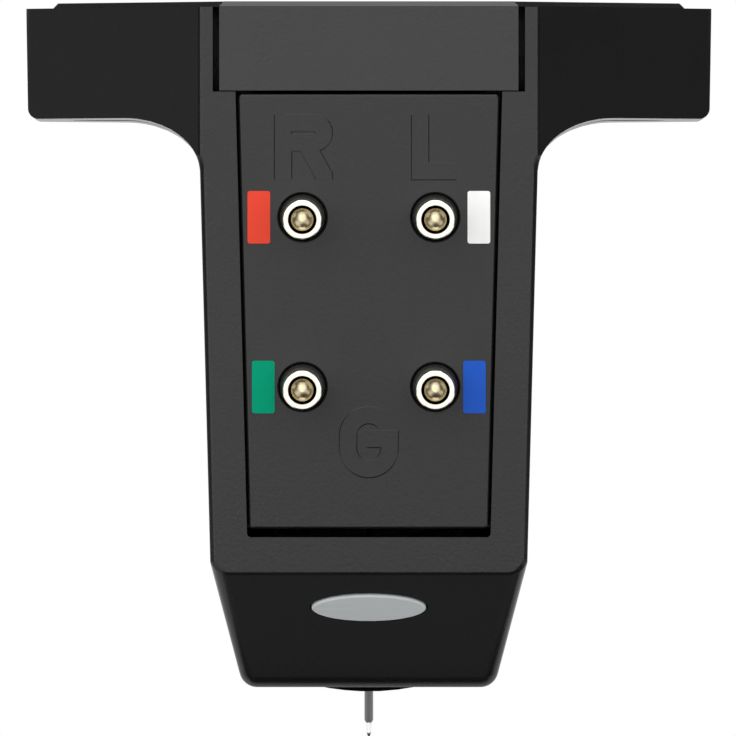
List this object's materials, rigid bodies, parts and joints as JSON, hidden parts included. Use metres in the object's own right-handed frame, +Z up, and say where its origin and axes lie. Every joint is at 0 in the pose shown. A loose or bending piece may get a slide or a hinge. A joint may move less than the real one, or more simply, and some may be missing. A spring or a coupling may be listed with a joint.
{
  "type": "turntable stylus cartridge",
  "caption": "Black moving-magnet record-player cartridge with swept mounting ears, gold output pins with colour tags, an oval silver badge and a pull-off stylus with a sprung cantilever.",
  "frame": {"origin": "on the mounting face, midway between the two screw holes", "axes": "+Z up into the headshell, +Y forward to the stylus, +X to the right seen from the pins"},
  "size_m": [0.0176, 0.0247, 0.019],
  "materials": {
    "body_plastic": "fine-grained black moulding",
    "plate_plastic": "fine-grained black moulding",
    "holder_plastic": "fine-grained black moulding",
    "frame_plastic": "natural nylon",
    "insert_brass": "turned",
    "pin_gold": "gold plated",
    "badge_silver": "satin",
    "shield_metal": "annealed nickel-iron",
    "pole_metal": "annealed nickel-iron",
    "coil_copper": "enamelled copper winding",
    "lead_copper": "enamelled copper wire",
    "tube_brass": "drawn tube",
    "spring_steel": "drawn wire",
    "damper_rubber": "soft butyl",
    "cantilever_metal": "drawn tube",
    "sleeve_metal": "turned",
    "magnet_metal": "ground",
    "diamond": "polished",
    "tag_red": "printed colour",
    "tag_white": "printed colour",
    "tag_green": "printed colour",
    "tag_blue": "printed colour"
  },
  "bodies": {
    "body": {"badge": "badge_silver", "bobbin_lower_left": "frame_plastic", "bobbin_lower_right": "frame_plastic", "bobbin_upper_left": "frame_plastic", "bobbin_upper_right": "frame_plastic", "body_shell": "body_plastic", "coil_lower_left": "coil_copper", "coil_lower_right": "coil_copper", "coil_upper_left": "coil_copper", "coil_upper_right": "coil_copper", "lead_left_ground": "lead_copper", "lead_left_signal": "lead_copper", "lead_right_ground": "lead_copper", "lead_right_signal": "lead_copper", "mount_plate": "plate_plastic", "pin_left_ground": "pin_gold", "pin_left_signal": "pin_gold", "pin_right_ground": "pin_gold", "pin_right_signal": "pin_gold", "pole_holder": "frame_plastic", "pole_lower_left": "pole_metal", "pole_lower_right": "pole_metal", "pole_upper_left": "pole_metal", "pole_upper_right": "pole_metal", "shield_can": "shield_metal", "tag_blue": "tag_blue", "tag_green": "tag_green", "tag_red": "tag_red", "tag_white": "tag_white", "terminal_plate": "plate_plastic", "threaded_insert_left": "insert_brass", "threaded_insert_right": "insert_brass", "yoke_inner": "pole_metal", "yoke_outer": "pole_metal"},
    "stylus": {"stylus_holder": "holder_plastic", "stylus_tube": "tube_brass", "wire_anchor": "tube_brass", "tie_wire": "spring_steel"},
    "suspension": {"damper_ring": "damper_rubber"},
    "needle": {"cantilever": "cantilever_metal", "cantilever_sleeve": "sleeve_metal", "magnet": "magnet_metal", "diamond_tip": "diamond"}
  },
  "joints": [
    {"name": "stylus_slide", "type": "slide", "parent": "body", "child": "stylus", "axis": [0, 0.9135, -0.4067], "range_m": [0, 0.005]},
    {"name": "needle_vertical", "type": "hinge", "parent": "stylus", "child": "suspension", "pos_m": [0, 0.00397, -0.01606], "axis": [1, 0, 0], "range_deg": [-2, 5], "stiffness_Nm_per_rad": 0.0038},
    {"name": "needle_lateral", "type": "hinge", "parent": "suspension", "child": "needle", "pos_m": [0, 0.00397, -0.01606], "axis": [0, 0.4067, 0.9135], "range_deg": [-4, 4], "stiffness_Nm_per_rad": 0.0038}
  ]
}
